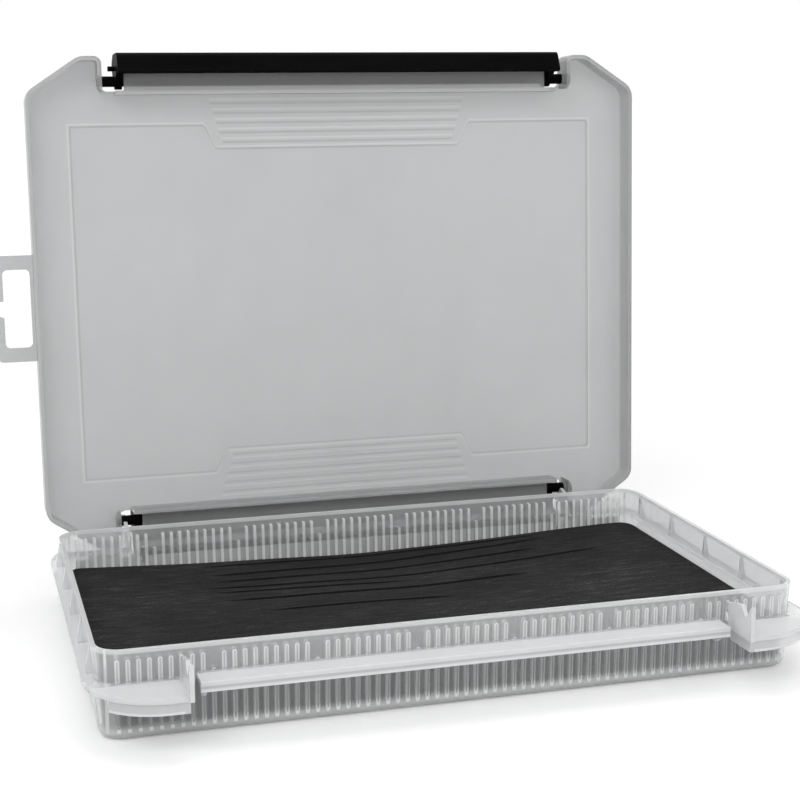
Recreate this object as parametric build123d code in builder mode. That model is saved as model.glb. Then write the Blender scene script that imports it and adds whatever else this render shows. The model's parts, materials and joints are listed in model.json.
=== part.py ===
# Flat tackle case for terminal tackle: a frosted tray and lid, a black bar along each long side and a slit
# foam pad. The front bar is the latch and the rear bar, the same moulding, is the hinge.
# Origin at the centre of the tray's underside, +X to the right, the latch side towards -Y, +Z up.
# Lengths are in millimetres and angles in degrees. The lid stands open, as it is shown.

from build123d import *
from math import atan, cos, degrees, hypot, radians, sin, sqrt
import os

# Whole case
BOX_W = 255.0            # lid and tray flange, left to right
BOX_D = 197.4            # lid, front ears to rear ears
BOX_H = 33.2             # table to the top of the shut lid
LID_OPEN = 92.7          # how far the lid stands open
LATCH_OUT = 38.0         # how far the latch hangs outward from shut
GAP = 0.3                # between pieces that rest on each other or slide

# Tray
SIDE_ROOM = 1.9          # from the rim out to the lid's skirt
NOTCH_ROOM = 11.3        # from the rim out to the back of the lid's notches
RIM_ROOM = 0.6           # from the rim up to the lid
DRAFT = 1.4              # how far each wall leans out from floor to rim
TRAY_R = 8.0
WALL = 1.5
FLOOR = 1.8
FOOT_R = 3.2

# Divider ribs on the long walls
RIB_PITCH = 3.43
RIB_W = 1.7
RIB_DEEP = 1.2
RIB_BELOW = 3.0          # from the rim down to the ribs
STUB_BELOW = 8.6
RIB_END = 7.0            # from the end of the rim in to the last rib, at least
STUB_EVERY = 10          # every tenth rib is a short stub

# Flange round each end of the tray, and what hangs under it
FLANGE_IN = 6.7          # from the lid's front edge
FLANGE_R = 25.0
FLANGE_DROP = 12.8       # from the top of the shut lid
FLANGE_T = 1.6
BUMPER_H = 4.4
BUMPER_T = 1.4
BUMPER_IN = 1.0
BUMPER_START = 1.0       # from the fin's inner face
BUMPER_LONG = 24.5
GUSSET_STEP = 31.0
GUSSET_SIDE = 2
GUSSET_T = 1.2
GUSSET_BELOW = 1.6
GUSSET_FOOT = 2.0

# Rails on the long walls that the bars hook under
RAIL_SHORT = 0.3         # the rail ends this much short of the bar
RAIL_DROP = 11.4         # from the top of the shut lid
RAIL_SHY = 0.5           # short of the back of the lid's notches
RAIL_T = 1.6
RAIL_R = 0.5
LIP_H = 3.6
NUB_IN = 1.0
NUB_T = 1.4
NUB_H = 6.9
NUB_FLAT = 2.5
NUB_BEVEL = 3.0

# Lid
LID_T = 1.6
SKIRT_T = 1.6
CHAMFER_X = 21.0
CHAMFER_Y = 14.0
LID_R = 7.0
EAR_R = 3.0
NOTCH_D = 13.4
EAR_FLAT = 8.9           # each ear's straight edge, from the notch to the cut corner
LEDGE_OUT = 7.2
LEDGE_SIDE = 0.5         # from a bar's end plate
LEDGE_T = 1.5
LEDGE_DROP = 2.5         # from the pin axis down to the ledge
PANEL_IN_X = 16.8
PANEL_IN_Y = 26.7
PANEL_DIP = 9.5
PANEL_DIP_HALF = 57.0
PANEL_DIP_SLOPE = 6.0
PANEL_DEEP = 0.5
GRIP_COUNT = 5
GRIP_PITCH = 3.9
GRIP_W = 1.6
GRIP_H = 0.3
GRIP_HALF = 54.0
GRIP_TAPER = 1.2
GRIP_IN_Y = 17.6

# Hang tab on the lid's left edge
TAB_OUT = 16.5
TAB_W = 42.6
TAB_T = 2.0
TAB_R = 4.0
TAB_BAR = 4.6
TAB_ROOT = 1.2
TAB_END = 5.6
TAB_NOTCH_R = 3.3

# Hinge and latch axes, one behind the rear wall and one in front of the front wall
AXIS_IN = 9.6            # from the lid's edge
AXIS_DROP = 3.6          # from the lid's top
PIN_R = 2.1
PIN_FIT = 0.08
FIN_SIDE = 1.1           # from the fin out to the lid's ear
FIN_T = 1.5
FIN_OVER = 1.4           # past the pin axis, upward
FIN_UNDER = 2.6          # at the wall the fin ends this much below the axis
FIN_EDGE = 4.3           # past the pin axis
FIN_FOOT_Y = 8.5         # the front fins' lower edge slants away from the wall
FIN_FOOT_Z = 4.2
V_HALF = 3.7
V_LOW = 1.0              # the V's wall side stands this much lower
V_FLAT = 0.6
V_DROP = 3.0

# Bars
BAR_T = 1.9
BAR_ROOM = 3.0           # from each fin to the bar's end
BAR_NOSE = 10.8
BAR_BROW = 4.2
BAR_CHIN = 1.6
BAR_SLOPE = 0.6
BAR_R = 3.0
BAR_BACK = 0.2
BAR_SINK = 1.8
BITE = 2.2
END_T = 2.8
END_R = 3.2
END_LOW = 11.2
END_BACK = 2.6
PRONG_R = 1.0
PRONG_OUT = 2.5
PRONG_DROP = 4.7

# Slit foam pad
FOAM_TOP = 17.0
FOAM_SAG = 2.4
FOAM_GAP = 0.4
SLIT_COUNT = 7
SLIT_PITCH = 6.0
SLIT_W = 0.8
SLIT_DEEP = 6.0
SLIT_LONG = 150.0
SLIT_Y0 = 14.0

# Places that follow from the sizes
HINGE_Y = BOX_D / 2 - AXIS_IN
HINGE_Z = BOX_H - AXIS_DROP
RECESS_Y = BOX_D / 2 - NOTCH_D
NOTCH_HALF = BOX_W / 2 - CHAMFER_X - EAR_FLAT
LID_UNDER = BOX_H - LID_T
RAIL_TOP = BOX_H - RAIL_DROP
FLANGE_TOP = BOX_H - FLANGE_DROP
RIM_W = BOX_W - 2 * (SKIRT_T + SIDE_ROOM)
RIB_SIDE = int((RIM_W / 2 - RIB_END) / RIB_PITCH)
RIM_D = 2 * (RECESS_Y - NOTCH_ROOM)
RIM_H = LID_UNDER - RIM_ROOM
LEAN = degrees(atan(DRAFT / RIM_H))
RAIL_Y = RECESS_Y - RAIL_SHY
LIP_BOTTOM = RAIL_TOP - LIP_H
SKIRT_BOTTOM = RAIL_TOP + GAP
FLANGE_BOTTOM = FLANGE_TOP - FLANGE_T
FLANGE_Y = BOX_D / 2 - FLANGE_IN
FIN_X = NOTCH_HALF - FIN_SIDE - FIN_T
FIN_TOP = HINGE_Z + FIN_OVER
FIN_END = HINGE_Y + FIN_EDGE
BAR_HALF = FIN_X - BAR_ROOM
RAIL_HALF = BAR_HALF - RAIL_SHORT
LEDGE_HALF = BAR_HALF - END_T - LEDGE_SIDE

# The open lid's rear corners swing down past the flange, which ends just short of them
CORNER_SWEEP = hypot(AXIS_IN, HINGE_Z - SKIRT_BOTTOM)
FLANGE_REAR = HINGE_Y - GAP - sqrt(CORNER_SWEEP ** 2 - (HINGE_Z - FLANGE_TOP) ** 2)
EARS = [(side, end) for side in (-1, 1) for end in (-1, 1)]


def tray_half_w(z):
    """Half the tray's outer width at height z."""
    return RIM_W / 2 - DRAFT * (RIM_H - z) / RIM_H


def tray_half_d(z):
    """Half the tray's outer depth at height z."""
    return RIM_D / 2 - DRAFT * (RIM_H - z) / RIM_H


def tray_outline(z, inset):
    """The tray's outline at height z, drawn in by inset."""
    corner = TRAY_R + DRAFT * z / RIM_H - inset
    RectangleRounded(2 * (tray_half_w(z) - inset), 2 * (tray_half_d(z) - inset), corner)


def turned(shape, y, z, angle):
    """Turn a shape about the left to right axis through (y, z)."""
    return shape.rotate(Axis((0, y, z), (1, 0, 0)), angle)


def swung_open(shape):
    """Swing what belongs to the shut lid open about the hinge."""
    return turned(shape, HINGE_Y, HINGE_Z, -LID_OPEN)


def tray_shell():
    """The open tray with its leaning walls."""
    with BuildSketch() as foot:
        tray_outline(0, 0)
    extrude(foot.sketch, amount=RIM_H, taper=-LEAN)
    fillet(faces().sort_by(Axis.Z)[0].edges(), FOOT_R)
    with BuildSketch(Plane.XY.offset(FLOOR)) as hollow:
        tray_outline(FLOOR, WALL)
    extrude(hollow.sketch, amount=RIM_H - FLOOR, taper=-LEAN, mode=Mode.SUBTRACT)


def rib_row(plane, places, top):
    """Ribs with rounded tops at the given places along one wall, in few faces."""
    half = RIB_W / 2
    height = (top - FLOOR) / cos(radians(LEAN))
    crown = [(half * cos(radians(a)), height - half + half * sin(radians(a))) for a in range(0, 181, 45)]
    with BuildSketch(plane) as row:
        with BuildSketch(mode=Mode.PRIVATE) as rib:
            with BuildLine():
                Polyline((-half, -FLOOR / 3), (half, -FLOOR / 3), *crown, close=True)
            make_face()
        with Locations(*[(x, 0) for x in places]):
            add(rib.sketch)
    extrude(row.sketch, amount=RIB_DEEP + WALL / 3)


def divider_ribs():
    """A row of ribs on each long wall, with a short stub at every tenth place."""
    numbers = range(-RIB_SIDE, RIB_SIDE + 1)
    stubs = [n * RIB_PITCH for n in numbers if abs(n) % STUB_EVERY == STUB_EVERY // 2]
    tall = [n * RIB_PITCH for n in numbers if abs(n) % STUB_EVERY != STUB_EVERY // 2]
    lean = radians(LEAN)
    for end in (-1, 1):
        foot = (0, end * (tray_half_d(FLOOR) - WALL), FLOOR)
        wall = Plane(foot, x_dir=(-end, 0, 0), z_dir=(0, end * cos(lean), -sin(lean)))
        rib_row(wall.offset(-RIB_DEEP), tall, RIM_H - RIB_BELOW)
        rib_row(wall.offset(-RIB_DEEP), stubs, RIM_H - STUB_BELOW)


def flange():
    """The flange that wraps both ends of the tray, from the front fins to short of the rear ones' ends."""
    with BuildSketch(Plane.XY.offset(FLANGE_BOTTOM)) as ring:
        RectangleRounded(BOX_W, 2 * FLANGE_Y, FLANGE_R)
        Rectangle(2 * FIN_X, BOX_D, mode=Mode.SUBTRACT)
        with Locations((0, FLANGE_REAR)):
            Rectangle(BOX_W, BOX_D, align=(Align.CENTER, Align.MIN), mode=Mode.SUBTRACT)
        with BuildSketch(Plane.XY.offset(FLANGE_BOTTOM), mode=Mode.SUBTRACT):
            tray_outline(FLANGE_BOTTOM, WALL / 2)
    extrude(ring.sketch, amount=FLANGE_T)


def bumpers():
    """A short curved wall under each front corner of the flange, closed back to the tray at both ends."""
    low = FLANGE_BOTTOM - BUMPER_H
    hollow_in = BUMPER_IN + BUMPER_T
    deep = FLANGE_Y - tray_half_d(low) + WALL / 2
    middle_x = FIN_X + BUMPER_START + BUMPER_LONG / 2
    middle_y = deep / 2 - FLANGE_Y
    with BuildSketch(Plane.XY.offset(low)) as curved:
        for side in (-1, 1):
            with Locations((side * middle_x, middle_y)):
                Rectangle(BUMPER_LONG, deep)
        RectangleRounded(
            BOX_W - 2 * BUMPER_IN, 2 * (FLANGE_Y - BUMPER_IN), FLANGE_R - BUMPER_IN, mode=Mode.INTERSECT
        )
        with BuildSketch(Plane.XY.offset(low), mode=Mode.SUBTRACT):
            for side in (-1, 1):
                with Locations((side * middle_x, middle_y)):
                    Rectangle(BUMPER_LONG - 2 * BUMPER_T, 2 * deep)
            RectangleRounded(
                BOX_W - 2 * hollow_in, 2 * (FLANGE_Y - hollow_in), FLANGE_R - hollow_in, mode=Mode.INTERSECT
            )
    extrude(curved.sketch, amount=BUMPER_H)


def fin_profile(end):
    """A fin across the gap beside a bar's end, with a V that the bar's pin drops into."""
    wall = tray_half_d(FLANGE_TOP) - WALL / 2
    pin_low = HINGE_Z - V_DROP
    foot = [
        (FIN_END, FLANGE_BOTTOM), (wall + FIN_FOOT_Y, FLANGE_BOTTOM), (wall + FIN_FOOT_Y / 2, FLANGE_TOP),
        (wall, FLANGE_TOP + FIN_FOOT_Z),
    ]
    if end > 0:
        foot = [(FIN_END, FLANGE_TOP + FIN_FOOT_Z), (FLANGE_REAR, FLANGE_BOTTOM), (wall, FLANGE_BOTTOM)]
    points = [
        (wall, HINGE_Z - FIN_UNDER), (HINGE_Y - V_HALF, FIN_TOP - V_LOW), (HINGE_Y - V_FLAT, pin_low),
        (HINGE_Y + V_FLAT, pin_low), (HINGE_Y + V_HALF, FIN_TOP), (FIN_END, FIN_TOP), *foot,
    ]
    Polyline(*[(end * y, z) for y, z in points], close=True)


def fins():
    """Four fins, one at each end of both bars."""
    for end in (-1, 1):
        with BuildSketch(Plane.YZ.offset(FIN_X)) as profile:
            with BuildLine():
                fin_profile(end)
            make_face()
        extrude(profile.sketch, amount=FIN_T)
        extrude(profile.sketch.moved(Location((-2 * FIN_X - FIN_T, 0, 0))), amount=FIN_T)


def rail(end):
    """A rail with a down-turned lip, and a nub under each end of it."""
    wall = tray_half_d(RAIL_TOP) - WALL / 2
    with BuildSketch(Plane.YZ) as section:
        with BuildLine():
            FilletPolyline(
                (end * wall, RAIL_TOP), (end * RAIL_Y, RAIL_TOP), (end * RAIL_Y, LIP_BOTTOM),
                (end * (RAIL_Y - RAIL_T), LIP_BOTTOM), (end * (RAIL_Y - RAIL_T), RAIL_TOP - RAIL_T),
                (end * wall, RAIL_TOP - RAIL_T), radius=RAIL_R,
            )
            Line((end * wall, RAIL_TOP - RAIL_T), (end * wall, RAIL_TOP))
        make_face()
    extrude(section.sketch, amount=RAIL_HALF, both=True)
    low = RAIL_TOP - NUB_H
    with BuildSketch(Plane.YZ.offset(RAIL_HALF - NUB_IN)) as nub:
        with BuildLine():
            points = [
                (wall, RAIL_TOP - RAIL_T / 2), (wall, low + NUB_BEVEL / 2), (wall + NUB_BEVEL, low),
                (wall + NUB_BEVEL + NUB_FLAT, low), (RAIL_Y - RAIL_T / 2, LIP_BOTTOM + RAIL_R),
                (RAIL_Y - RAIL_T / 2, RAIL_TOP - RAIL_T / 2),
            ]
            Polyline(*[(end * y, z) for y, z in points], close=True)
        make_face()
    extrude(nub.sketch, amount=-NUB_T)
    extrude(nub.sketch.moved(Location((-2 * (RAIL_HALF - NUB_IN), 0, 0))), amount=NUB_T)


def end_gussets():
    """Thin stiffening webs between the flange and the tray's short walls."""
    places = [n * GUSSET_STEP for n in range(-GUSSET_SIDE, GUSSET_SIDE + 1)]
    foot = BOX_W / 2 - SKIRT_T - GAP
    for side in (-1, 1):
        for y in places:
            with BuildSketch(Plane.XZ.offset(-y)) as web:
                with BuildLine():
                    top = RIM_H - GUSSET_BELOW
                    wall_low = tray_half_w(FLANGE_TOP) - WALL / 2
                    wall_high = tray_half_w(top)
                    points = [
                        (wall_low, FLANGE_TOP - FLANGE_T / 2), (foot, FLANGE_TOP - FLANGE_T / 2),
                        (foot, FLANGE_TOP + GUSSET_FOOT), (wall_high + GAP, top), (wall_high - WALL / 2, top),
                    ]
                    Polyline(*[(side * x, z) for x, z in points], close=True)
                make_face()
            extrude(web.sketch, amount=GUSSET_T / 2, both=True)


def lid_outline(z, inset):
    """The lid's outline at height z, drawn in by inset: a cut-cornered sheet with a notch front and rear."""
    half_w = BOX_W / 2
    half_d = BOX_D / 2
    with BuildSketch(Plane.XY.offset(z)) as outline:
        with BuildLine():
            quarter = [
                (NOTCH_HALF, half_d - NOTCH_D), (NOTCH_HALF, half_d), (half_w - CHAMFER_X, half_d),
                (half_w, half_d - CHAMFER_Y),
            ]
            right = quarter + [(x, -y) for x, y in reversed(quarter)]
            left = [(-x, -y) for x, y in right]
            Polyline(*right, *left, close=True)
        make_face()
        corners = vertices()
        tips = [v for v in corners if abs(abs(v.X) - NOTCH_HALF) < 0.01]
        cuts = [v for v in corners if abs(abs(v.X) - NOTCH_HALF) >= 0.01]
        fillet(tips, EAR_R)
        cuts = [v for v in vertices() if any((v.center() - c.center()).length < 0.01 for c in cuts)]
        fillet(cuts, LID_R)
        if inset:
            offset(amount=-inset, mode=Mode.REPLACE)
    return outline.sketch


def lid_shell():
    """The lid's plate and skirt."""
    extrude(lid_outline(SKIRT_BOTTOM, 0), amount=BOX_H - SKIRT_BOTTOM)
    extrude(lid_outline(SKIRT_BOTTOM, SKIRT_T), amount=LID_UNDER - SKIRT_BOTTOM, mode=Mode.SUBTRACT)


def lid_notches():
    """In each notch: a ledge in front of the skirt, room for the fins and the holes for the bar's pins."""
    ledge_top = HINGE_Z - LEDGE_DROP
    embed = SKIRT_T / 2
    relief = NOTCH_HALF - (BAR_HALF + GAP)
    for end in (-1, 1):
        with BuildSketch(Plane.XY.offset(ledge_top)) as ledge:
            with Locations((0, end * (RECESS_Y + (LEDGE_OUT - embed) / 2))):
                Rectangle(2 * LEDGE_HALF, LEDGE_OUT + embed)
        extrude(ledge.sketch, amount=-LEDGE_T)
        with BuildSketch(Plane.XY.offset(LID_UNDER)) as slots:
            with Locations(*[(side * (NOTCH_HALF - relief / 2), end * RECESS_Y) for side in (-1, 1)]):
                Rectangle(relief, 2 * SKIRT_T + 2 * EAR_R)
        extrude(slots.sketch, amount=SKIRT_BOTTOM - LID_UNDER, mode=Mode.SUBTRACT)
        with BuildSketch(Plane.YZ) as bore:
            with Locations((end * HINGE_Y, HINGE_Z)):
                Circle(PIN_R + PIN_FIT)
        extrude(bore.sketch, amount=NOTCH_HALF + SKIRT_T + 1, both=True, mode=Mode.SUBTRACT)


def lid_panel():
    """The shallow panel inside the lid, drawn in behind each grip, and the grips' ribs."""
    half_x = BOX_W / 2 - PANEL_IN_X
    half_y = BOX_D / 2 - PANEL_IN_Y
    dip_x = PANEL_DIP_HALF - PANEL_DIP_SLOPE
    with BuildSketch(Plane.XY.offset(LID_UNDER)) as panel:
        with BuildLine():
            edge = [
                (-half_x, half_y), (-PANEL_DIP_HALF, half_y), (-dip_x, half_y - PANEL_DIP),
                (dip_x, half_y - PANEL_DIP), (PANEL_DIP_HALF, half_y), (half_x, half_y),
            ]
            Polyline(*edge, *[(-x, -y) for x, y in edge], close=True)
        make_face()
        fillet(vertices(), 2.5)
    extrude(panel.sketch, amount=PANEL_DEEP, mode=Mode.SUBTRACT)
    with BuildSketch(Plane.XY.offset(LID_UNDER + PANEL_DEEP)) as grips:
        for end in (-1, 1):
            for n in range(GRIP_COUNT):
                with Locations((0, end * (BOX_D / 2 - GRIP_IN_Y - n * GRIP_PITCH))):
                    Rectangle(2 * (GRIP_HALF - n * GRIP_TAPER), GRIP_W)
    extrude(grips.sketch, amount=-PANEL_DEEP - GRIP_H)


def hang_tab():
    """The loop on the lid's left edge, with a half round notch for a shop hook."""
    edge = -BOX_W / 2
    with BuildSketch(Plane.XY.offset(BOX_H - TAB_T)) as tab:
        with Locations((edge - TAB_OUT / 2 + SKIRT_T / 2, 0)):
            Rectangle(TAB_OUT + SKIRT_T, TAB_W)
        fillet(vertices().group_by(Axis.X)[0], TAB_R)
        hole_w = TAB_OUT - TAB_BAR - TAB_ROOT
        with Locations((edge - TAB_ROOT - hole_w / 2, 0)):
            RectangleRounded(hole_w, TAB_W - 2 * TAB_END, TAB_R / 2, mode=Mode.SUBTRACT)
        with Locations((edge - TAB_OUT + TAB_BAR, 0)):
            Circle(TAB_NOTCH_R, mode=Mode.SUBTRACT)
    extrude(tab.sketch, amount=TAB_T)


def bar_profile(end):
    """The bar's outer line from its back edge over the nose and down to the hook."""
    hook_low = LIP_BOTTOM - GAP - BAR_T
    points = [
        (HINGE_Y + BAR_BACK, BOX_H - GAP), (HINGE_Y + BAR_NOSE, BOX_H - GAP),
        (HINGE_Y + BAR_NOSE - BAR_SLOPE, HINGE_Z - BAR_BROW), (HINGE_Y + BAR_CHIN, hook_low - BAR_SINK),
        (RAIL_Y - BITE, hook_low),
    ]
    return [(end * y, z) for y, z in points]


def hinge_bar(end):
    """A bar for the front or the rear: a bent strip, two end plates, and a pin and a prong on each."""
    with BuildSketch(Plane.YZ) as strip:
        with BuildLine():
            FilletPolyline(*bar_profile(end), radius=BAR_R)
            offset(amount=BAR_T, side=Side.LEFT if end < 0 else Side.RIGHT)
        make_face()
    extrude(strip.sketch, amount=BAR_HALF, both=True)
    outer = bar_profile(end)
    axis_y = end * HINGE_Y
    with BuildSketch(Plane.YZ.offset(BAR_HALF)) as plate:
        with BuildLine():
            FilletPolyline(
                *outer[:4], (axis_y - end * END_BACK, HINGE_Z - END_LOW), (axis_y - end * END_BACK, HINGE_Z),
                radius=BAR_R, close=True,
            )
        make_face()
        with Locations((axis_y, HINGE_Z)):
            Circle(END_R)
    extrude(plate.sketch, amount=-END_T)
    extrude(plate.sketch.moved(Location((-2 * BAR_HALF, 0, 0))), amount=END_T)
    with BuildSketch(Plane.YZ) as pins:
        with Locations((axis_y, HINGE_Z)):
            Circle(PIN_R)
    pin_end = NOTCH_HALF + SKIRT_T - GAP
    for side in (-1, 1):
        start = Location((side * (BAR_HALF - END_T / 2), 0, 0))
        extrude(pins.sketch.moved(start), amount=side * (pin_end - BAR_HALF + END_T / 2))
    with BuildSketch(Plane.YZ) as prongs:
        with Locations((axis_y + end * PRONG_OUT, HINGE_Z - PRONG_DROP)):
            Circle(PRONG_R)
    prong_end = FIN_X - GAP
    for side in (-1, 1):
        start = Location((side * (BAR_HALF - END_T / 2), 0, 0))
        extrude(prongs.sketch.moved(start), amount=side * (prong_end - BAR_HALF + END_T / 2))


def foam_outline():
    """The pad's plan, clear of the walls and the ribs at the floor."""
    half_w = tray_half_w(FLOOR) - WALL - FOAM_GAP
    half_d = tray_half_d(FLOOR) - WALL - RIB_DEEP - FOAM_GAP
    RectangleRounded(2 * half_w, 2 * half_d, TRAY_R - WALL)


def foam_body():
    """The pad with its sagging top."""
    low = FLOOR + GAP
    with BuildSketch(Plane.XY.offset(low)) as plan:
        foam_outline()
    extrude(plan.sketch, amount=FOAM_TOP - low)
    half = tray_half_w(FLOOR)
    with BuildSketch(Plane.XZ) as hollow:
        with BuildLine():
            ThreePointArc((-half, FOAM_TOP), (0, FOAM_TOP - FOAM_SAG), (half, FOAM_TOP))
            Polyline((half, FOAM_TOP), (half, FOAM_TOP + 2), (-half, FOAM_TOP + 2), (-half, FOAM_TOP))
        make_face()
    extrude(hollow.sketch, amount=RIM_D / 2, both=True, mode=Mode.SUBTRACT)


def foam_slits():
    """Long cuts across the pad that hooks and jigs are pushed into."""
    with BuildSketch(Plane.XY.offset(FOAM_TOP)) as cuts:
        for n in range(SLIT_COUNT):
            with Locations((0, SLIT_Y0 + n * SLIT_PITCH)):
                Rectangle(SLIT_LONG, SLIT_W)
    extrude(cuts.sketch, amount=-FOAM_SAG - SLIT_DEEP, mode=Mode.SUBTRACT)


with BuildPart() as base_tray:
    tray_shell()
    flange()
    bumpers()
    fins()
    rail(-1)
    rail(1)
    end_gussets()
    divider_ribs()

with BuildPart() as lid:
    lid_shell()
    lid_notches()
    lid_panel()
    hang_tab()

with BuildPart() as front_latch:
    hinge_bar(-1)

with BuildPart() as rear_hinge_bar:
    hinge_bar(1)

with BuildPart() as slit_foam_pad:
    foam_body()
    foam_slits()

lid.part = swung_open(lid.part)
front_latch.part = swung_open(turned(front_latch.part, -HINGE_Y, HINGE_Z, -LATCH_OUT))

os.makedirs("parts", exist_ok=True)
base_tray.part.label = "base_tray"
export_step(base_tray.part, "parts/base_tray.step")
lid.part.label = "lid"
export_step(lid.part, "parts/lid.step")
front_latch.part.label = "front_latch"
export_step(front_latch.part, "parts/front_latch.step")
rear_hinge_bar.part.label = "rear_hinge_bar"
export_step(rear_hinge_bar.part, "parts/rear_hinge_bar.step")
slit_foam_pad.part.label = "slit_foam_pad"
export_step(slit_foam_pad.part, "parts/slit_foam_pad.step")
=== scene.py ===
import bpy, bmesh, json, math
from collections import namedtuple
from mathutils import Matrix, Vector


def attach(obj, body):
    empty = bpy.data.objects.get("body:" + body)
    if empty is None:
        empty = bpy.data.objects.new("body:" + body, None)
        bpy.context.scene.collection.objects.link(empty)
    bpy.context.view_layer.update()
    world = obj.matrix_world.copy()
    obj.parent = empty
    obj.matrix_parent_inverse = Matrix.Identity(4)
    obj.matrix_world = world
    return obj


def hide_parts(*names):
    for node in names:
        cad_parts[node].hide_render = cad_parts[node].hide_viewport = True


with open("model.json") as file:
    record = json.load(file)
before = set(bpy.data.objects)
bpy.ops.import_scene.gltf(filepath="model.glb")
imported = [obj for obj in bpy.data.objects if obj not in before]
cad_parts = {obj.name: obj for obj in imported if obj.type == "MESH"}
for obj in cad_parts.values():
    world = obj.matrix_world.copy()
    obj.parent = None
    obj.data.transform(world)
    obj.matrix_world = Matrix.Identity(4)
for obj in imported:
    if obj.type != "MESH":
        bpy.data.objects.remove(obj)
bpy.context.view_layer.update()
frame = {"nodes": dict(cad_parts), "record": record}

NODES = frame["nodes"]
MM = 0.001

# The line that the lid turns about, in millimetres, and its angle at rest from shut, in degrees
LID_HINGE = next(j for j in frame["record"]["behaviour"]["joints"] if j["name"] == "lid_hinge")
HINGE_Y, HINGE_Z = LID_HINGE["pos_m"][1] / MM, LID_HINGE["pos_m"][2] / MM
LID_OPEN = -LID_HINGE["range_deg"][0]

# The tray's wall and ribs, in millimetres, as in the solids
WALL_IN = 71.12              # the long walls' inner face at the table, from the middle
WALL_LEAN = 0.0452           # and how far it leans out for each millimetre up
RIB_PITCH = 3.43
RIB_TOP = 27.1               # the middle of a rib's round top
STUB_DROP = 5.6              # every tenth rib is this much lower


# Node materials
class Nodes:
    """A node tree in the making: add() makes a node, join() links two sockets."""

    def __init__(self, owner, output):
        owner.use_nodes = True
        self.tree = owner.node_tree
        self.tree.nodes.clear()
        self.out = self.add(output)

    def add(self, kind, **props):
        node = self.tree.nodes.new("ShaderNode" + kind)
        for name, value in props.items():
            setattr(node, name, value)
        return node

    def join(self, source, target):
        self.tree.links.new(source, target)

    def math(self, operation, *values):
        """A Math node, where each value is a number or a socket."""
        node = self.add("Math", operation=operation)
        for socket, value in zip(node.inputs, values):
            if isinstance(value, (int, float)):
                socket.default_value = value
            else:
                self.join(value, socket)
        return node.outputs[0]

    def seen(self):
        """1 for a ray that sees a backdrop, also in gloss or through plastic, and 0 for one lit by it."""
        path = self.add("LightPath")
        through = self.math("MAXIMUM", path.outputs["Is Glossy Ray"], path.outputs["Is Transmission Ray"])
        return self.math("MAXIMUM", path.outputs["Is Camera Ray"], through)


class Mat(Nodes):
    """A material, with the nodes that several of them use."""

    def __init__(self, name):
        self.mat = bpy.data.materials.new(name)
        super().__init__(self.mat, "OutputMaterial")

    def ramp(self, share, stops):
        node = self.add("ValToRGB")
        elements = node.color_ramp.elements
        while len(elements) < len(stops):
            elements.new(0.5)
        for element, (position, colour) in zip(elements, stops):
            element.position = position
            element.color = colour
        self.join(share, node.inputs[0])
        return node.outputs[0]

    def noise(self, where, scale, detail, rough):
        node = self.add("TexNoise")
        node.inputs["Scale"].default_value = scale
        node.inputs["Detail"].default_value = detail
        node.inputs["Roughness"].default_value = rough
        self.join(where, node.inputs["Vector"])
        return node.outputs["Fac"]

    def coords(self, scale=(1, 1, 1)):
        """The point on the object in metres, times the scale."""
        point = self.add("TexCoord")
        scaled = self.add("Mapping")
        scaled.inputs["Scale"].default_value = scale
        self.join(point.outputs["Object"], scaled.inputs["Vector"])
        return scaled.outputs["Vector"]

    def bump(self, height, strength, distance):
        node = self.add("Bump")
        node.inputs["Strength"].default_value = strength
        node.inputs["Distance"].default_value = distance
        self.join(height, node.inputs["Height"])
        return node.outputs["Normal"]

    def tint(self, share, base, colour):
        """The base colour, taken towards a plain colour by a share."""
        node = self.add("MixRGB")
        share.to(node.inputs[0])
        self.join(base, node.inputs[1])
        node.inputs[2].default_value = colour
        return node.outputs[0]

    def principled(self, **values):
        node = self.add("BsdfPrincipled")
        for name, value in values.items():
            node.inputs[name.replace("_", " ")].default_value = value
        self.join(node.outputs[0], self.out.inputs["Surface"])
        return node


def grey(value):
    return (value, value, value, 1)


class Val:
    """A socket that can be added, multiplied and compared like a number."""

    def __init__(self, mat, socket):
        self.mat, self.socket = mat, socket

    def op(self, kind, *others):
        raw = [other.socket if isinstance(other, Val) else other for other in others]
        return Val(self.mat, self.mat.math(kind, self.socket, *raw))

    def __add__(self, other):
        return self.op("ADD", other)

    def __sub__(self, other):
        return self.op("SUBTRACT", other)

    def __mul__(self, other):
        return self.op("MULTIPLY", other)

    def abs(self):
        return self.op("ABSOLUTE")

    def most(self, other):
        return self.op("MAXIMUM", other)

    def least(self, other):
        return self.op("MINIMUM", other)

    def step(self, low, high):
        """0 at low, 1 at high, smooth between; low may be the larger one."""
        node = self.mat.add("MapRange", interpolation_type="SMOOTHSTEP")
        limits = (low, high, 0, 1) if low < high else (high, low, 1, 0)
        for name, limit in zip(("From Min", "From Max", "To Min", "To Max"), limits):
            node.inputs[name].default_value = limit
        self.mat.join(self.socket, node.inputs["Value"])
        return Val(self.mat, node.outputs["Result"])

    def line(self, at, half):
        """1 close to the value at, 0 from twice half away."""
        return (self - at).abs().step(2 * half, half * 0.6)

    def to(self, socket):
        self.mat.join(self.socket, socket)


def place(m):
    """The point on the object in millimetres, as three values."""
    node = m.add("SeparateXYZ")
    m.join(m.coords((1 / MM, 1 / MM, 1 / MM)), node.inputs[0])
    return [Val(m, output) for output in node.outputs]


def cool(m, tone, socket):
    """A near-neutral grey of the given tone, its red and green a trace below its blue."""
    colour = m.add("CombineColor")
    (tone * 0.985).to(colour.inputs[0])
    (tone * 0.993).to(colour.inputs[1])
    tone.to(colour.inputs[2])
    m.join(colour.outputs[0], socket)


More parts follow.
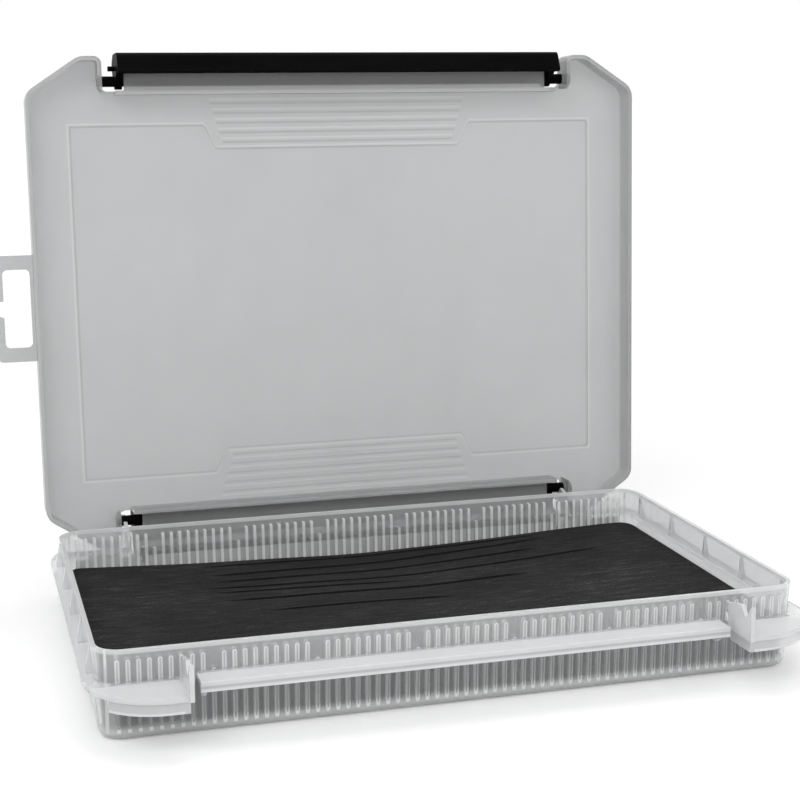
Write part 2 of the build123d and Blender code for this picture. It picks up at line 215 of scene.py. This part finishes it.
def frosted_tray(name):
    """Milky polypropylene: rim, rail, plates and ribs are whiter than the thin wall, partly from their
    thicker plastic and partly from painted light on the rim, the front plates, the flange's top, the lower
    edges and the ribs' edges and tops.
    """
    m = Mat(name)
    p = m.principled(IOR=1.4, Specular_IOR_Level=0.45)
    x, y, z = place(m)
    along, out = x.abs(), y.abs()
    front, rear = y.step(40.0, -40.0), y.step(-40.0, 40.0)

    # rail, flange and bumpers stand out beyond the wall: painted highlights along their lower edges, and a
    # soft groove of painted shade along the rail
    beyond = out.step(76.2, 76.6)
    hem_highlight = z.line(14.7, 0.4) * along.step(97.5, 98.0) + z.line(18.5, 0.3)
    # painted shade of a soft groove along the rail, with no groove in the solid
    groove_shade = out.step(84.3, 84.6) * z.line(19.9, 0.35) * along.step(93.0, 92.5)
    flange_top_light = z.step(18.7, 19.0)
    # all plates are whiter as thicker milky plastic; the front ones more, and most on the flange's top, as
    # painted light
    plates_milk_and_light = beyond * (front * (flange_top_light * 0.25 + 0.22 + hem_highlight * 0.35) + 0.15)
    # the rim's top is whiter: partly its milky plastic, partly a painted highlight
    rim_milk_and_highlight = z.step(29.4, 30.0)
    foot = z.step(5.5, 2.5)

    # how deep in the leaning wall: the ribs stand inside it, and their outlines are painted on its outer
    # face as highlights, over a paler painted image of each rib
    depth = out - z * WALL_LEAN - WALL_IN
    proud = depth.step(-0.02, -0.3) * depth.step(-1.8, -1.4) * z.step(2.0, 2.3)
    outer = depth.step(0.8, 1.0) * depth.step(1.8, 1.65)
    # the front wall's outer face is toned down between the foot and the rail: painted shade where the dark
    # foam lies behind it
    front_shade = outer * front * z.step(3.5, 6.5) * z.step(20.0, 17.0)

    # how far from the middle line of the nearest rib; the painted rib highlights are fainter low down at
    # the left end
    stub = along.op("PINGPONG", 5 * RIB_PITCH).step(15.2, 15.6)
    above = (z + stub * STUB_DROP - RIB_TOP).most(0.0)
    beside = x.op("PINGPONG", RIB_PITCH / 2)
    reach = (beside * beside + above * above).op("SQRT")
    among = along.step(118.6, 118.2)
    outline = reach.line(0.5, 0.2) * among
    body = reach.step(0.8, 0.5) * among
    # the ribs are whiter as thicker plastic, and whiter still at their round tops, a painted highlight
    rib_and_top_highlight = proud * beside.step(0.75, 0.4) * (z.step(24.0, 27.5) * 0.3 + 0.6)
    faint = x.step(-86.0, -96.0) * z.step(18.0, 16.0)
    painted_rib_light = (faint * -0.6 + 1.0) * outer * (outline * 0.75).most(body * 0.3) * z.step(2.6, 3.6)
    # the ribs' feet painted pale on the outer face, as painted light
    rib_feet_light = outer * body * z.line(3.4, 0.6) * 0.8
    # white gathers the thicker milky plastic and the painted highlights above
    white = rib_and_top_highlight.most(painted_rib_light).most(rib_feet_light).most(rim_milk_and_highlight * 0.55).most(plates_milk_and_light).most(foot * 0.35)

    # the rear wall is toned down low, where it has the unlit table behind it
    shade = outer * rear * z.step(22.0, 18.0)
    cloud = Val(m, m.noise(m.coords((14, 9, 5)), 3.0, 4, 0.6))
    tone = cloud * 0.06 + 0.87 + white * 0.1 - shade * 0.75 - front_shade * 0.3 - groove_shade * 0.25 - beyond * 0.06
    cool(m, tone, p.inputs["Base Color"])
    (white * -0.5 + 0.72 + front_shade * 0.16).to(p.inputs["Transmission Weight"])
    (white * 0.12 + 0.08).to(p.inputs["Roughness"])
    m.join(m.bump(m.noise(m.coords(), 700, 2, 0.6), 0.08, 0.0002), p.inputs["Normal"])
    return m.mat


def frosted_lid(name):
    """The lid in the same plastic, frosted, an even cool grey, with a painted highlight and a painted
    shadow along its moulded panel and grip lines.
    """
    m = Mat(name)
    p = m.principled(IOR=1.4, Specular_IOR_Level=0.4, Transmission_Weight=0.62, Roughness=0.26)
    x, y, z = place(m)
    along = x.abs()

    # the lid's own frame: how far from its middle line, and how high above its hinge line when shut
    lean = math.radians(LID_OPEN - 90)
    up, back = z - HINGE_Z, y - HINGE_Y
    out = (up * math.cos(lean) + back * math.sin(lean) - HINGE_Y).abs()
    high = back * math.cos(lean) - up * math.sin(lean)
    flat = high.step(1.0, 1.8)

    # the panel's edge, which dips towards the middle where the grips are; a painted highlight runs just
    # outside it and a painted shadow just inside it
    panel_x, panel_y, dip = 110.7, 72.0, 9.5
    panel_edge = along.step(57.0, 51.0) * -dip + panel_y
    inside = (along * -1.0 + panel_x).least(panel_edge - out)
    lit = inside.line(-0.35, 0.35)
    dark = inside.line(0.5, 0.3)

    # the grips, in rows inwards from their outermost line, with ends that slant; each row has a painted
    # highlight and a painted shadow beside it
    grip_out, grip_pitch, end_slant = 81.1, 3.9, 0.308
    row = out * -1.0 + grip_out
    in_rows = row.step(-1.6, -1.2) * row.step(17.2, 16.8) * (row * end_slant + along).step(54.3, 53.8)
    across = (row + grip_pitch / 2).op("MODULO", grip_pitch) - grip_pitch / 2
    lit = lit.most(in_rows * across.line(-0.75, 0.3))
    dark = dark.most(in_rows * across.line(0.85, 0.3))

    # painted highlight and painted shadow, on the lid's flat top only
    painted_edge_light = (lit * 0.09 - dark * 0.08) * flat
    # the skirt, off the flat top, is toned down: painted shade
    skirt_shade = flat * -0.1 + 0.1
    cloud = Val(m, m.noise(m.coords((9, 9, 6)), 3.0, 4, 0.6))
    fine = Val(m, m.noise(m.coords(), 60, 4, 0.6))
    tone = cloud * 0.06 + fine * 0.03 + 0.595 + painted_edge_light - skirt_shade
    cool(m, tone, p.inputs["Base Color"])
    m.join(m.bump(m.noise(m.coords(), 220, 2, 0.5), 0.05, 0.0002), p.inputs["Normal"])
    return m.mat


def black_plastic(name):
    """Black moulded plastic with a satin skin."""
    m = Mat(name)
    p = m.principled(IOR=1.4, Specular_IOR_Level=0.035)
    fine = m.noise(m.coords(), 1400, 2, 0.6)
    soft = m.noise(m.coords((1, 6, 6)), 40, 3, 0.55)
    colour = m.ramp(soft, [(0.3, (0.0012, 0.0012, 0.0014, 1)), (0.75, (0.0028, 0.0028, 0.003, 1))])
    m.join(colour, p.inputs["Base Color"])
    m.join(m.ramp(soft, [(0.3, grey(0.42)), (0.8, grey(0.52))]), p.inputs["Roughness"])
    m.join(m.bump(fine, 0.15, 0.0002), p.inputs["Normal"])
    return m.mat


def charcoal_foam(name):
    """Charcoal closed-cell foam: fine cells, faint streaks along its length, pale flecks, and its cuts in
    painted shade with a painted highlight on the lip behind each.
    """
    m = Mat(name)
    p = m.principled(Roughness=0.85, Specular_IOR_Level=0.12)
    cells = m.noise(m.coords(), 1500, 3, 0.7)
    streak = m.noise(m.coords((0.14, 1, 1)), 700, 3, 0.6)
    broad = m.noise(m.coords((1, 2, 1)), 18, 3, 0.5)
    mixed = m.math("MULTIPLY_ADD", cells, 0.44, m.math("MULTIPLY", broad, 0.2))
    mixed = m.math("MULTIPLY_ADD", streak, 0.36, mixed)
    skin = m.ramp(mixed, [
        (0.36, grey(0.006)),
        (0.52, (0.0195, 0.0195, 0.0188, 1)),
        (0.61, grey(0.041)),
        (0.68, grey(0.13)),
    ])
    # the cut attribute is painted shade in the cuts, and below 0 a painted highlight on the lip behind
    # each; the pale flecks are the foam's own
    cut = Val(m, m.add("Attribute", attribute_name="cut").outputs["Fac"])
    fleck = Val(m, m.noise(m.coords((0.5, 1, 1)), 420, 2, 0.5)).step(0.68, 0.78)
    flecks_and_lip_highlight = m.tint((cut * -1.0).most(0.0).most(fleck * 0.4), skin, grey(0.1))
    # the cuts take painted shade, nearly black
    dark = m.tint(cut.most(0.0), flecks_and_lip_highlight, grey(0.001))
    m.join(dark, p.inputs["Base Color"])
    height = m.math("ADD", m.math("MULTIPLY", cells, 0.6), m.math("MULTIPLY", streak, 0.5))
    m.join(m.bump(height, 0.5, 0.0004), p.inputs["Normal"])
    return m.mat


def dress(node, mat):
    """Give a CAD node its material."""
    slots = NODES[node].data.materials
    slots.clear()
    slots.append(mat)


dress("base_tray", frosted_tray("frosted_tray"))
dress("lid", frosted_lid("frosted_lid"))
black = black_plastic("black_plastic")
dress("front_latch", black)
dress("rear_hinge_bar", black)


# Foam pad, in millimetres
PAD_HALF_W, PAD_HALF_D, PAD_CORNER = 121.2, 69.9, 6.5
PAD_LOW, PAD_TOP = 2.1, 17.0
PAD_EDGE = (0, 0.12, 0.35, 0.7, 1.2, 2.2)    # how far in the rows round the rounded edge lie
PAD_COLUMNS = 96
ROW_PITCH = 3.0

# Each cut's line is at + slope * x + bow * x * x, from its left end to its right end
Cut = namedtuple("Cut", "at slope bow left right width")
CUTS = (
    Cut(-3.0, -0.03, -0.0004, -52, 18, 1.0),
    Cut(13.5, 0.01, 0.0002, -65, 54, 1.5),
    Cut(23.0, -0.03, 0.0, -68, 8, 0.9),
    Cut(30.5, 0.02, 0.0005, -72, 93, 1.0),
    Cut(42.0, 0.05, 0.0003, -66, 71, 1.3),
    Cut(53.0, 0.07, 0.0002, -66, 76, 1.3),
    Cut(64.0, 0.02, -0.0001, -67, 76, 0.9),
)
CUT_TAPER = 8                # a cut fades out over this length at each end
CUT_REACH = 95.0             # past this from the middle, its line runs straight along the pad

# The rows of points across a cut, from front to back: the place as a share of half its width, how much
# further back, how far up, and how much painted shade. Behind the cut is a raised lip. A negative shade is
# a painted highlight.
Across = namedtuple("Across", "share further rise dark")
CUT_ROWS = (
    Across(-1.0, -0.5, 0.0, 0.0),
    Across(-1.0, 0.0, 0.0, 0.55),
    Across(-0.7, 0.0, -2.6, 1.0),
    Across(0.0, 0.0, -2.6, 1.0),
    Across(0.7, 0.0, -2.6, 1.0),
    Across(1.0, 0.0, 0.35, 0.75),
    Across(1.0, 0.6, 0.2, -0.12),
)


def smooth(t):
    """0 up to 0, 1 from 1 on, smooth between."""
    t = max(0.0, min(1.0, t))
    return t * t * (3 - 2 * t)


def straight(y):
    return lambda x: y


def shifted(line, by):
    return lambda x: line(x) + by


def between(first, last, t):
    return lambda x: (1 - t) * first(x) + t * last(x)


def cut_line(cut):
    def y(x):
        x = max(-CUT_REACH, min(CUT_REACH, x))
        return cut.at + cut.slope * x + cut.bow * x * x
    return y


def pad_rows():
    """The pad's rows from front to back: the line of each, and the cut and the place in it, if any."""
    rows = [(straight(inward - PAD_HALF_D), None, None) for inward in PAD_EDGE]
    before, clear = straight(-PAD_HALF_D), 4.0
    for cut in CUTS:
        line, half = cut_line(cut), cut.width / 2
        count = max(2, round((line(0) - before(0)) / ROW_PITCH))
        first, last = shifted(before, clear), shifted(line, -half - 0.9)
        rows += [(between(first, last, i / count), None, None) for i in range(count)]
        rows += [(shifted(line, spot.share * half + spot.further), cut, spot) for spot in CUT_ROWS]
        before, clear = line, half + 1.4
    rows.append((between(shifted(before, clear), straight(PAD_HALF_D - 3.0), 0.5), None, None))
    rows += [(straight(PAD_HALF_D - inward), None, None) for inward in reversed(PAD_EDGE)]
    return rows


def pad_columns():
    """The pad's columns from left to right, as shares of half its width, close together at its edges."""
    left = {-1 + inward / PAD_HALF_W for inward in PAD_EDGE}
    right = {1 - inward / PAD_HALF_W for inward in PAD_EDGE}
    middle = {-0.97 + 1.94 * i / PAD_COLUMNS for i in range(PAD_COLUMNS + 1)}
    return sorted(left | right | middle)


def half_width(y):
    """Half the pad's width at y, less in its rounded corners."""
    over = abs(y) - (PAD_HALF_D - PAD_CORNER)
    if over <= 0:
        return PAD_HALF_W
    return PAD_HALF_W - PAD_CORNER + math.sqrt(max(0.0, PAD_CORNER ** 2 - over ** 2))


def sag(x, y):
    """How far the pad's top lies under its highest level: most in the rear middle, with slight waves."""
    back = smooth((y + PAD_HALF_D) / (2 * PAD_HALF_D)) ** 1.3
    across = math.cos(min(1.0, abs(x + 8) / 118) * math.pi / 2) ** 1.2
    wave = 0.25 * math.sin(x / 23.0 + 0.6) + 0.15 * math.sin(x / 11.0 + y / 30.0)
    return (3.2 * back + 0.5) * across + wave * smooth(1 - abs(x) / PAD_HALF_W)


def edge_drop(inward):
    """How far the rounded top edge, 1 mm in radius, drops at a distance from the pad's side."""
    inward = min(1.0, max(0.0, inward))
    return 1.0 - math.sqrt(max(0.0, 1.0 - (1.0 - inward) ** 2))


def pad_point(share, line, cut, spot):
    """A point of the pad's top, and how much painted shade it takes."""
    y = line(share * PAD_HALF_W)
    half = half_width(y)
    x = share * half
    z = PAD_TOP - sag(x, y) - edge_drop(min(PAD_HALF_D - abs(y), half - abs(x)))
    if not cut or not cut.left < x < cut.right:
        return (x, y, z), 0.0
    strength = min(1.0, (x - cut.left) / CUT_TAPER, (cut.right - x) / CUT_TAPER)
    return (x, y, z + spot.rise * strength), spot.dark * strength


def pad_mesh():
    """The pad as a dense sheet with sides and a flat base, and the painted shade of its cuts at each point.
    """
    bm = bmesh.new()
    grid, cut_shading = [], []
    for line, cut, spot in pad_rows():
        row = []
        for share in pad_columns():
            point, dark = pad_point(share, line, cut, spot)
            row.append(bm.verts.new(Vector(point) * MM))
            cut_shading.append(dark)
        grid.append(row)
    for a, b in zip(grid, grid[1:]):
        for i in range(len(a) - 1):
            bm.faces.new((a[i], a[i + 1], b[i + 1], b[i]))

    # the sides, from the sheet's outer ring of points down to the base
    right, left = [row[-1] for row in grid[1:]], [row[0] for row in grid[-2:0:-1]]
    ring = grid[0] + right + grid[-1][-2::-1] + left
    base = [bm.verts.new((v.co.x, v.co.y, PAD_LOW * MM)) for v in ring]
    middle = [bm.verts.new((v.co.x, v.co.y, v.co.z - 3 * MM)) for v in ring]
    for i in range(len(ring)):
        j = (i + 1) % len(ring)
        bm.faces.new((ring[j], ring[i], middle[i], middle[j]))
        bm.faces.new((middle[j], middle[i], base[i], base[j]))
    bm.faces.new(base[::-1])
    bmesh.ops.recalc_face_normals(bm, faces=bm.faces)
    mesh = bpy.data.meshes.new("foam_pad")
    bm.to_mesh(mesh)
    bm.free()
    return mesh, cut_shading


def foam_pad():
    """The pad: sagging towards the rear middle, rounded edges, seven bent cuts."""
    mesh, cut_shading = pad_mesh()
    cut = mesh.attributes.new("cut", "FLOAT", "POINT")
    for i, dark in enumerate(cut_shading):
        cut.data[i].value = dark
    for face in mesh.polygons:
        face.use_smooth = len(face.vertices) == 4
    pad = bpy.data.objects.new("foam_pad", mesh)
    bpy.context.scene.collection.objects.link(pad)
    mesh.materials.append(charcoal_foam("charcoal_foam"))
    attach(pad, "foam")
    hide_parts("slit_foam_pad")


foam_pad()


# Floor, world and lights, in metres and watts
def floor_material():
    """A pale floor that takes the object's shadow, and glows white further out."""
    m = Mat("floor")
    seen = m.seen()
    paint = m.add("BsdfDiffuse")
    paint.inputs["Color"].default_value = grey(0.9)
    lift = m.add("Emission")
    m.join(m.math("MULTIPLY", seen, 0.16), lift.inputs["Strength"])
    near = m.add("AddShader")
    m.join(paint.outputs[0], near.inputs[0])
    m.join(lift.outputs[0], near.inputs[1])
    far = m.add("Emission")
    m.join(m.math("MULTIPLY_ADD", seen, 0.35, 0.7), far.inputs["Strength"])
    point = m.add("NewGeometry")
    distance = m.add("VectorMath", operation="LENGTH")
    m.join(point.outputs["Position"], distance.inputs[0])
    mix = m.add("MixShader")
    Val(m, distance.outputs["Value"]).step(0.35, 1.0).to(mix.inputs[0])
    m.join(near.outputs[0], mix.inputs[1])
    m.join(far.outputs[0], mix.inputs[2])
    m.join(mix.outputs[0], m.out.inputs["Surface"])
    return m.mat


def floor():
    bm = bmesh.new()
    bmesh.ops.create_circle(bm, cap_ends=True, segments=96, radius=14)
    mesh = bpy.data.meshes.new("floor")
    bm.to_mesh(mesh)
    bm.free()
    mesh.materials.append(floor_material())
    disc = bpy.data.objects.new("floor", mesh)
    bpy.context.scene.collection.objects.link(disc)
    disc.location = (0, 0, -0.0001)


def studio():
    """A white world, at full strength only where it is seen."""
    world = bpy.data.worlds.new("studio")
    bpy.context.scene.world = world
    nodes = Nodes(world, "OutputWorld")
    back = nodes.add("Background")
    back.inputs["Color"].default_value = grey(1)
    nodes.join(nodes.math("MULTIPLY_ADD", nodes.seen(), 0.45, 0.55), back.inputs["Strength"])
    nodes.join(back.outputs[0], nodes.out.inputs["Surface"])


def area(name, spot, aim, size, power):
    """A rectangular area light at spot, pointed at aim."""
    light = bpy.data.lights.new(name, "AREA")
    light.shape = "RECTANGLE"
    light.size, light.size_y = size
    light.energy = power
    lamp = bpy.data.objects.new(name, light)
    bpy.context.scene.collection.objects.link(lamp)
    lamp.location = spot
    lamp.rotation_mode = "QUATERNION"
    lamp.rotation_quaternion = (Vector(aim) - Vector(spot)).to_track_quat("-Z", "Y")


floor()
studio()
area("key", (-0.7, -1.0, 1.3), (0, 0, 0.05), (1.2, 0.9), 11)
area("fill", (1.1, -0.9, 0.7), (0, 0, 0.08), (0.9, 0.9), 4)
area("top", (0.0, 0.3, 1.5), (0, 0, 0.0), (1.2, 0.8), 6)


# Camera, as fitted to the photograph
def camera():
    focal_px, photo_px, sensor_mm = 1640.743, 800, 36
    yaw, pitch, roll = 0.27472, 0.19244, -0.00632
    spot = Vector((-163.797, -573.372, 207.434)) * MM
    ahead = Vector((math.sin(yaw) * math.cos(pitch), math.cos(yaw) * math.cos(pitch), -math.sin(pitch)))
    right = Vector((math.cos(yaw), -math.sin(yaw), 0))
    up = right.cross(ahead)
    c, s = math.cos(roll), math.sin(roll)
    right, up = c * right + s * up, c * up - s * right
    data = bpy.data.cameras.new("camera")
    data.sensor_width = sensor_mm
    data.lens = focal_px * sensor_mm / photo_px
    data.clip_start, data.clip_end = 0.01, 100
    view = bpy.data.objects.new("camera", data)
    bpy.context.scene.collection.objects.link(view)
    matrix = Matrix((right, up, -ahead)).transposed().to_4x4()
    matrix.translation = spot
    view.matrix_world = matrix
    bpy.context.scene.camera = view


camera()
bpy.context.scene.view_settings.view_transform = "Standard"
